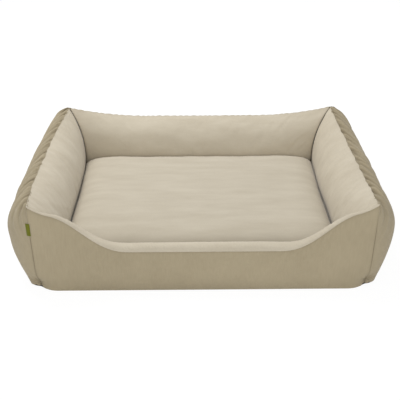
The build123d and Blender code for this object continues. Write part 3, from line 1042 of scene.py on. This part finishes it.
def padded_copy(name):
    """The CAD's filling as one even skin, drawn in so that the cloth over it can dip."""
    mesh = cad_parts[name + "_bolster_fill"].data.copy()
    mesh.materials.clear()
    pad = bpy.data.objects.new(name + "_filling", mesh)
    bpy.context.collection.objects.link(pad)
    merge_doubles(pad, 0.00001)
    remesh = pad.modifiers.new("even", "REMESH")
    remesh.mode = "VOXEL"
    remesh.voxel_size = fill_voxel[name]
    slim = pad.modifiers.new("draw", "DISPLACE")
    slim.strength = -fill_draw[name]
    slim.mid_level = 0.0
    apply_modifiers(pad)
    return pad


def kept_clear(place, surfaces, clearance, way):
    """A place, moved if need be to lie the clearance or more before (1) or behind (-1) the surfaces."""
    for surface in surfaces:
        spot, normal, _, _ = surface.find_nearest(place, near_enough)
        if spot is not None:
            apart = (place - spot).dot(normal) * way
            if apart < clearance:
                place = place + normal * way * (clearance - apart)
    return place


for name in fill_voxel:
    filling = padded_copy(name)
    around = [lining_surfaces[name]] + list(panel_surfaces.values())
    for vertex in filling.data.vertices:
        for _ in range(2):
            vertex.co = kept_clear(vertex.co, around, fill_clearance, -1)
        vertex.co.z = max(vertex.co.z, base_top + fill_above_base)
    filling.data.materials.append(filling_material)
    only(filling)
    bpy.ops.object.shade_smooth()
    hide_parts(name + "_bolster_fill")
    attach(filling, "border")


# Loose cushion: a pillow of the same plush that fills the well. Its top and bottom are sewn together
# half-way up the side, its rear corners are thinner and its middle stands up in a low crown.
cushion_dark = (0.440, 0.387, 0.297, 1)
cushion_light = (0.610, 0.557, 0.454, 1)
cushion_seam_height = (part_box("cushion_zip_tape_upper")[1][2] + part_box("cushion_zip_tape_lower")[0][2]) / 2
cushion_back_y = 0.2265
cushion_front_y = -0.3270
cushion_rounds = {"side": 0.130, "back": 0.110, "front": 0.230}
cushion_edge_squareness = {"side": 3.5, "back": 4.2, "front": 2.4}
cushion_corner_squareness = 30
cushion_top = 0.0635
cushion_tilt = 0.0010
cushion_levels = (0, 0.02, 0.045, 0.075, 0.11, 0.155, 0.21, 0.275, 0.35, 0.43, 0.51)
cushion_levels += (0.59, 0.67, 0.745, 0.81, 0.865, 0.91, 0.945, 0.972, 0.99, 1.0)
cushion_columns = 40
cushion_rows = 26
cushion_gap = {"left": 0.0014, "right": 0.0014, "front": 0.0014, "back": 0.0036}
cushion_underside = 0.0034
cushion_lumps = 0.0022
cushion_seam_groove = 0.0020
# Painted shade on the cushion's falling edges: the height where it starts, how deep it grows, its darkest, and
# its fade towards the back
edge_shade_from = 0.1170
edge_shade_depth = 0.04
edge_shade_darkest = 0.8
edge_shade_fade = {"back": 0.20, "run": 0.25}
rim_x, rim_back, rim_front = 0.29, 0.16, -0.27
rim_corner_x, rim_corner_back = 0.30, 0.17
cushion_seam_width = 0.0022
cushion_seam_line = 0.0016
cushion_seam_shade = 0.7
cushion_slit_end = 0.004
cushion_slit_edge = 0.0012
cushion_slit_lip = 0.0030
cushion_slit_depth = 0.0006
cushion_cloth = pile_material("cushion_cloth", cushion_dark, cushion_light)


def cushion_share(index, flat_count):
    """Where a grid line runs: on the flat middle from -1 to 1, or how many levels down which rounded edge."""
    levels = len(cushion_levels) - 1
    if index < levels:
        return -1.0, index - levels
    if index > levels + flat_count:
        return 1.0, index - levels - flat_count
    return 2 * (index - levels) / flat_count - 1, 0


def cushion_point(column, row, upward):
    """A point of the cushion's top or bottom. Its edge falls in rings, each a rounded oblong."""
    flat_x, out_x = cushion_share(column, cushion_columns)
    flat_y, out_y = cushion_share(row, cushion_rows)
    levels = len(cushion_levels) - 1
    ring = max(abs(out_x), abs(out_y))
    full = cushion_levels[levels - ring]
    nearer = min(abs(out_x), abs(out_y)) / ring if ring else 0
    squared = (1 + nearer**cushion_corner_squareness) ** (1 / cushion_corner_squareness)
    side, end = right if flat_x > 0 else left, "back" if row > levels + cushion_rows / 2 else "front"
    powers = cushion_edge_squareness["side"], cushion_edge_squareness[end]
    across, along = (
        cushion_rounds[way] * (1 - full**power) ** (1 / power) / squared
        for way, power in zip(("side", end), powers)
    )
    half_width = cushion_half_width[side]
    flat_back, flat_front = cushion_back_y - cushion_rounds["back"], cushion_front_y + cushion_rounds["front"]
    x = flat_x * (half_width - cushion_rounds["side"]) + across * (out_x / ring if ring else 0)
    y = flat_front + (flat_y + 1) / 2 * (flat_back - flat_front) + along * (out_y / ring if ring else 0)
    to_side, to_back = max(0.0, half_width - abs(x)), max(0.0, cushion_back_y - y)
    fall = cushion_corner_fall[side] * fade(to_side, cushion_fall_run) * fade(to_back, cushion_fall_run)
    if y > flat_front:
        share = min(1.0, abs(x) / half_width) ** 4
        x += side * share * (side_inner_reach[side] - inner_corner_reach[side]) * fade(to_back, ear_run)
        share = max(0.0, y / cushion_back_y) ** 4
        y += share * (back_inner_reach - inner_corner_reach[side]) * fade(to_side, ear_run)
    else:
        y += (wall_depth(x) - wall_thick) * (1 - (y - cushion_front_y) / cushion_rounds["front"])
    if upward:
        return Vector((x, y, cushion_seam_height + (cushion_top + cushion_tilt * flat_y - fall) * full))
    return Vector((x, y, cushion_seam_height - (cushion_seam_height - cushion_underside) * full))


def half_cushion(name, upward):
    columns = cushion_columns + 2 * len(cushion_levels) - 2
    rows = cushion_rows + 2 * len(cushion_levels) - 2
    half = new_grid(name, columns, rows)
    for vertex in half.data.vertices:
        column, row = round((vertex.co.x + 0.5) * columns), round((vertex.co.y + 0.5) * rows)
        vertex.co = cushion_point(column, row, upward)
    if not upward:
        half.data.flip_normals()
    return half


cushion = half_cushion("cushion_cover", True)
bottom_half = half_cushion("cushion_bottom", False)
only(cushion)
bottom_half.select_set(True)
bpy.ops.object.join()
merge_doubles(cushion, 0.00002)
for vertex, normal in [(v, v.normal.copy()) for v in cushion.data.vertices]:
    vertex.co += normal * cushion_lumps * lumpiness(vertex.co, 7, 21, 0.4, (11, 13))
stuff(cushion, pressure=3.0, furthest=0.005, mass=0.25, bending_stiffness=0.2, shrink_min=-0.01)

# The cover stays just clear of the lining all round, and is slit along the back edge for its own zip
for vertex in cushion.data.vertices:
    near_end = vertex.co.y > rim_corner_back or vertex.co.y < rim_front
    tries = 2 if abs(vertex.co.x) > rim_corner_x and near_end else 1
    if abs(vertex.co.x) > rim_x or vertex.co.y > rim_back or vertex.co.y < rim_front:
        for name in list(lining_surfaces) * tries:
            vertex.co = kept_clear(vertex.co, [lining_surfaces[name]], cushion_gap[name], 1)
subdivision = cushion.modifiers.new("smooth", "SUBSURF")
subdivision.levels = subdivision.render_levels = 1
apply_modifiers(cushion)
zip_low, zip_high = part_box("cushion_zip_tape_lower")[0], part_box("cushion_zip_tape_upper")[1]
for vertex, normal in [(v, v.normal.copy()) for v in cushion.data.vertices]:
    at_seam = math.exp(-(((vertex.co.z - cushion_seam_height) / cushion_seam_width) ** 2))
    vertex.co -= normal * cushion_seam_groove * at_seam
    beside = abs(vertex.co.x) - zip_high[0]
    below = max(zip_low[2] - vertex.co.z, vertex.co.z - zip_high[2])
    if vertex.co.y > 0:
        open_share = clamped(-beside / cushion_slit_end) * clamped(-below / cushion_slit_edge)
        lips = zip_high[1] + cushion_slit_lip + 0.4 * max(0.0, below, beside)
        vertex.co.y = min(vertex.co.y, lips)
        vertex.co.y += (min(vertex.co.y, zip_low[1] - cushion_slit_depth) - vertex.co.y) * open_share
    vertex.co.z = max(vertex.co.z, cushion_underside)

# Painted shade: the cover is darker where it falls below its crown along the sides and the front, and in its
# seam
cushion_shade_values = []
for vertex in cushion.data.vertices:
    in_seam = cushion_seam_shade * math.exp(-(((vertex.co.z - cushion_seam_height) / cushion_seam_line) ** 2))
    below = max(0.0, edge_shade_from - vertex.co.z) if vertex.co.z > cushion_seam_height else 0.0
    to_front = clamped((edge_shade_fade["back"] - vertex.co.y) / edge_shade_fade["run"])
    cushion_shade_values.append(in_seam + min(edge_shade_darkest, 1.35 * (below / edge_shade_depth) ** 1.6) * to_front)
write_seam(cushion.data, cushion_shade_values)
cushion.data.materials.clear()
cushion.data.materials.append(cushion_cloth)
only(cushion)
bpy.ops.object.shade_smooth()
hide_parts("cushion_top_cover", "cushion_bottom_cover", "cushion_core")
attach(cushion, "cushion")


# Base: one flat dark cloth under the whole bed, cut to the line of the panels' feet and sewn to them.
base_dark, base_light = (0.045, 0.041, 0.036, 1), (0.085, 0.077, 0.066, 1)
base_inset = 0.0026
rim_steps = 60
base_cloth = woven_material("base_cloth", base_dark, base_light, 0.0015, 0.0005)
rim_shares = shares(rim_steps)[:-1]
rim = [side_panel_point(right, share, 1.0) for share in rim_shares]
rim += [back_panel_point(1 - share, 1.0) for share in rim_shares]
rim += [side_panel_point(left, 1 - share, 1.0) for share in rim_shares]
rim += [front_panel_point(share, 1.0) for share in rim_shares]
bpy.ops.object.select_all(action="DESELECT")
bpy.ops.mesh.primitive_circle_add(vertices=len(rim), fill_type="NGON")
base = bpy.context.object
base.name = "base_cloth"
for vertex, place in zip(base.data.vertices, rim):
    outward = Vector((place.x, place.y, 0)).normalized()
    vertex.co = Vector((place.x, place.y, base_top)) - outward * base_inset
base.data.update()
if base.data.polygons[0].normal.z < 0:
    base.data.flip_normals()
thickness = base.modifiers.new("cloth", "SOLIDIFY")
thickness.thickness = base_top - base_low[2]
thickness.offset = -1
apply_modifiers(base)
base.data.uv_layers[0].data.foreach_set(
    "uv", [c for loop in base.data.loops for c in base.data.vertices[loop.vertex_index].co[:2]]
)
base.data.materials.append(base_cloth)
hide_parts("base_panel")
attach(base, "border")


# Zips. The woven tapes, the die-cast sliders, their pulls and the end stops are as modelled; the teeth
# are small moulded nylon blocks on the tapes' edges, the two rows half a pitch apart.
tape_dark, tape_light = (0.120, 0.102, 0.070, 1), (0.215, 0.185, 0.130, 1)
nylon_dark, nylon_light = (0.130, 0.112, 0.080, 1), (0.175, 0.150, 0.108, 1)
nickel_dark, nickel_light = (0.300, 0.295, 0.280, 1), (0.420, 0.415, 0.400, 1)
tooth_pitch = 0.0026
tooth_size = (0.00135, 0.0026, 0.0016)
tooth_from_middle = 0.0018
tooth_above_tape = 0.0015
tooth_row_half_length = {"border": 0.3162, "cushion": 0.2072}
tooth_bevel = 0.0003
zip_tape = woven_material("zip_tape", tape_dark, tape_light, 0.0008, 0.0002, False)
zip_nylon, tree, shader = new_material("zip_nylon")
moulding = noise_node(tree, object_place(tree), 900)
set_inputs(
    tree,
    shader,
    Base_Color=colour_node(tree, moulding, nylon_dark, nylon_light),
    Roughness=spread_node(tree, moulding, 0.3, 0.7, 0.38, 0.52),
)
zip_nickel, tree, shader = new_material("zip_nickel")
scuffs = noise_node(tree, object_place(tree, Scale=(1, 1, 14)), 320, 3)
set_inputs(
    tree,
    shader,
    Base_Color=colour_node(tree, scuffs, nickel_dark, nickel_light),
    Metallic=1.0,
    Roughness=spread_node(tree, scuffs, 0.3, 0.7, 0.34, 0.5),
)
set_bump(tree, shader, scuffs, 0.0002, 0.25)


def middle_of(node):
    low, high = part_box(node)
    return (low + high) / 2


def tooth_row(whose, row, way):
    """One row of teeth, on the upper (way -1) or the lower (1) tape of a zip."""
    upper, lower = middle_of(whose + "_zip_tape_upper"), middle_of(whose + "_zip_tape_lower")
    down = (lower - upper).normalized()
    outward = Vector((1, 0, 0)).cross(down)
    half_length = tooth_row_half_length[whose]
    first = -half_length + (tooth_pitch / 2 if way > 0 else 0)
    place = (upper + lower) / 2 + down * way * tooth_from_middle + outward * tooth_above_tape
    bpy.ops.object.select_all(action="DESELECT")
    bpy.ops.mesh.primitive_cube_add(size=1)
    teeth = bpy.context.object
    teeth.name = whose + "_teeth_" + row
    for vertex in teeth.data.vertices:
        along, across, up = (c * s for c, s in zip(vertex.co, tooth_size))
        vertex.co = Vector((first + along, place.y, place.z)) + down * across + outward * up
    bevel = teeth.modifiers.new("rounded", "BEVEL")
    bevel.width = tooth_bevel
    bevel.segments = 1
    repeat = teeth.modifiers.new("row", "ARRAY")
    repeat.count = int((half_length - first) / tooth_pitch)
    repeat.use_relative_offset = False
    repeat.use_constant_offset = True
    repeat.constant_offset_displace = (tooth_pitch, 0, 0)
    apply_modifiers(teeth)
    teeth.data.materials.append(zip_nylon)
    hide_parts(whose + "_zip_teeth_" + row)
    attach(teeth, whose)


for whose in ("border", "cushion"):
    for row, way in (("upper", -1), ("lower", 1)):
        tooth_row(whose, row, way)
        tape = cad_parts[whose + "_zip_tape_" + row]
        tape.data.materials.clear()
        tape.data.materials.append(zip_tape)
    for fitting in ("stops", "slider", "pull"):
        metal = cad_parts[whose + "_zip_" + fitting]
        metal.data.materials.clear()
        metal.data.materials.append(zip_nickel)


# Tag: a short loop of ribbed olive ribbon, its two ends caught in the left front seam.
tag_low, tag_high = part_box("seam_tag")
tag_reach = 0.0105
tag_gap = 0.0011
tag_curl = 0.0030
tag_lift = 0.0025
tag_wave = 0.0005
tag_thickness = 0.0004
tag_height = tag_high[2] - tag_low[2]
tag_dark, tag_light = (0.080, 0.086, 0.004, 1), (0.200, 0.212, 0.016, 1)
tag_ribbon = woven_material("tag_ribbon", tag_dark, tag_light, 0.0011, 0.0004)
tag = new_grid("seam_tag_loop", 36, 20)
for loop, data in zip(tag.data.loops, tag.data.uv_layers.active.data):
    place = tag.data.vertices[loop.vertex_index].co
    data.uv = ((place.x + 0.5) * 2 * tag_reach, (place.y + 0.5) * tag_height)
for vertex in tag.data.vertices:
    share, rise = vertex.co.x + 0.5, vertex.co.y + 0.5
    out = math.sin(math.pi * share) ** 0.8
    apart = tag_gap * math.cos(math.pi * share) * (1 + 0.5 * math.sin(math.pi * share))
    wave = tag_wave * wander(out * 2.5, rise * 3, 6)
    vertex.co.x = tag_high[0] - tag_reach * out
    vertex.co.y = (tag_low[1] + tag_high[1]) / 2 - apart / 2 + tag_curl * out**2 + wave
    vertex.co.z = tag_low[2] + tag_lift + rise * tag_height
thickness = tag.modifiers.new("ribbon", "SOLIDIFY")
thickness.thickness = tag_thickness
thickness.offset = 0
apply_modifiers(tag)
tag.data.materials.append(tag_ribbon)
bpy.ops.object.shade_smooth_by_angle(angle=math.radians(50))
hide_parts("seam_tag")
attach(tag, "border")


# Room: a white floor on which the bed throws a short soft shadow, and even studio light.
white = (1, 1, 1, 1)
floor_glow = 1.05
floor_glow_share = 0.88
floor_size = 30
floor_below = 0.0005
sky_strength = {"unseen": 0.55, "seen": 1.0}


def seen_share(tree):
    """1 for what the camera sees straight, in a mirror or through glass, and 0 for what only lights."""
    ray = tree.nodes.new("ShaderNodeLightPath")
    seen = math_node(tree, "MAXIMUM", ray.outputs["Is Camera Ray"], ray.outputs["Is Glossy Ray"])
    return math_node(tree, "MAXIMUM", seen, ray.outputs["Is Transmission Ray"])


floor_material, tree, paper = new_material("studio_floor")
set_inputs(tree, paper, Base_Color=white, Roughness=0.9, Specular_IOR_Level=0.0)
lit = add_node(tree, "Emission", Color=white, Strength=floor_glow)
mixed = add_node(tree, "MixShader", Fac=math_node(tree, "MULTIPLY", seen_share(tree), floor_glow_share))
tree.links.new(paper.outputs["BSDF"], mixed.inputs[1])
tree.links.new(lit.outputs["Emission"], mixed.inputs[2])
tree.links.new(mixed.outputs["Shader"], tree.nodes["Material Output"].inputs["Surface"])
bpy.ops.object.select_all(action="DESELECT")
bpy.ops.mesh.primitive_plane_add(size=floor_size, location=(0, 0, -floor_below))
floor = bpy.context.object
floor.name = "studio_floor"
floor.data.materials.append(floor_material)

world = bpy.data.worlds.new("studio")
bpy.context.scene.world = world
world.use_nodes = True
tree = world.node_tree
strength = spread_node(tree, seen_share(tree), 0, 1, sky_strength["unseen"], sky_strength["seen"])
set_inputs(tree, tree.nodes["Background"], Color=white, Strength=strength)


def softbox(name, location, target, size, power):
    bpy.ops.object.light_add(type="AREA", location=location)
    box = bpy.context.object
    box.name = name
    box.data.shape = "DISK"
    box.data.size = size
    box.data.energy = power
    direction = Vector(target) - Vector(location)
    box.rotation_euler = direction.to_track_quat("-Z", "Y").to_euler()


bed_middle = (0, 0, 0.1)
softbox("key_softbox", location=(-0.7, 0.9, 2.3), target=bed_middle, size=1.6, power=36)
softbox("front_fill", location=(0.2, -2.6, 1.5), target=bed_middle, size=2.0, power=18.5)
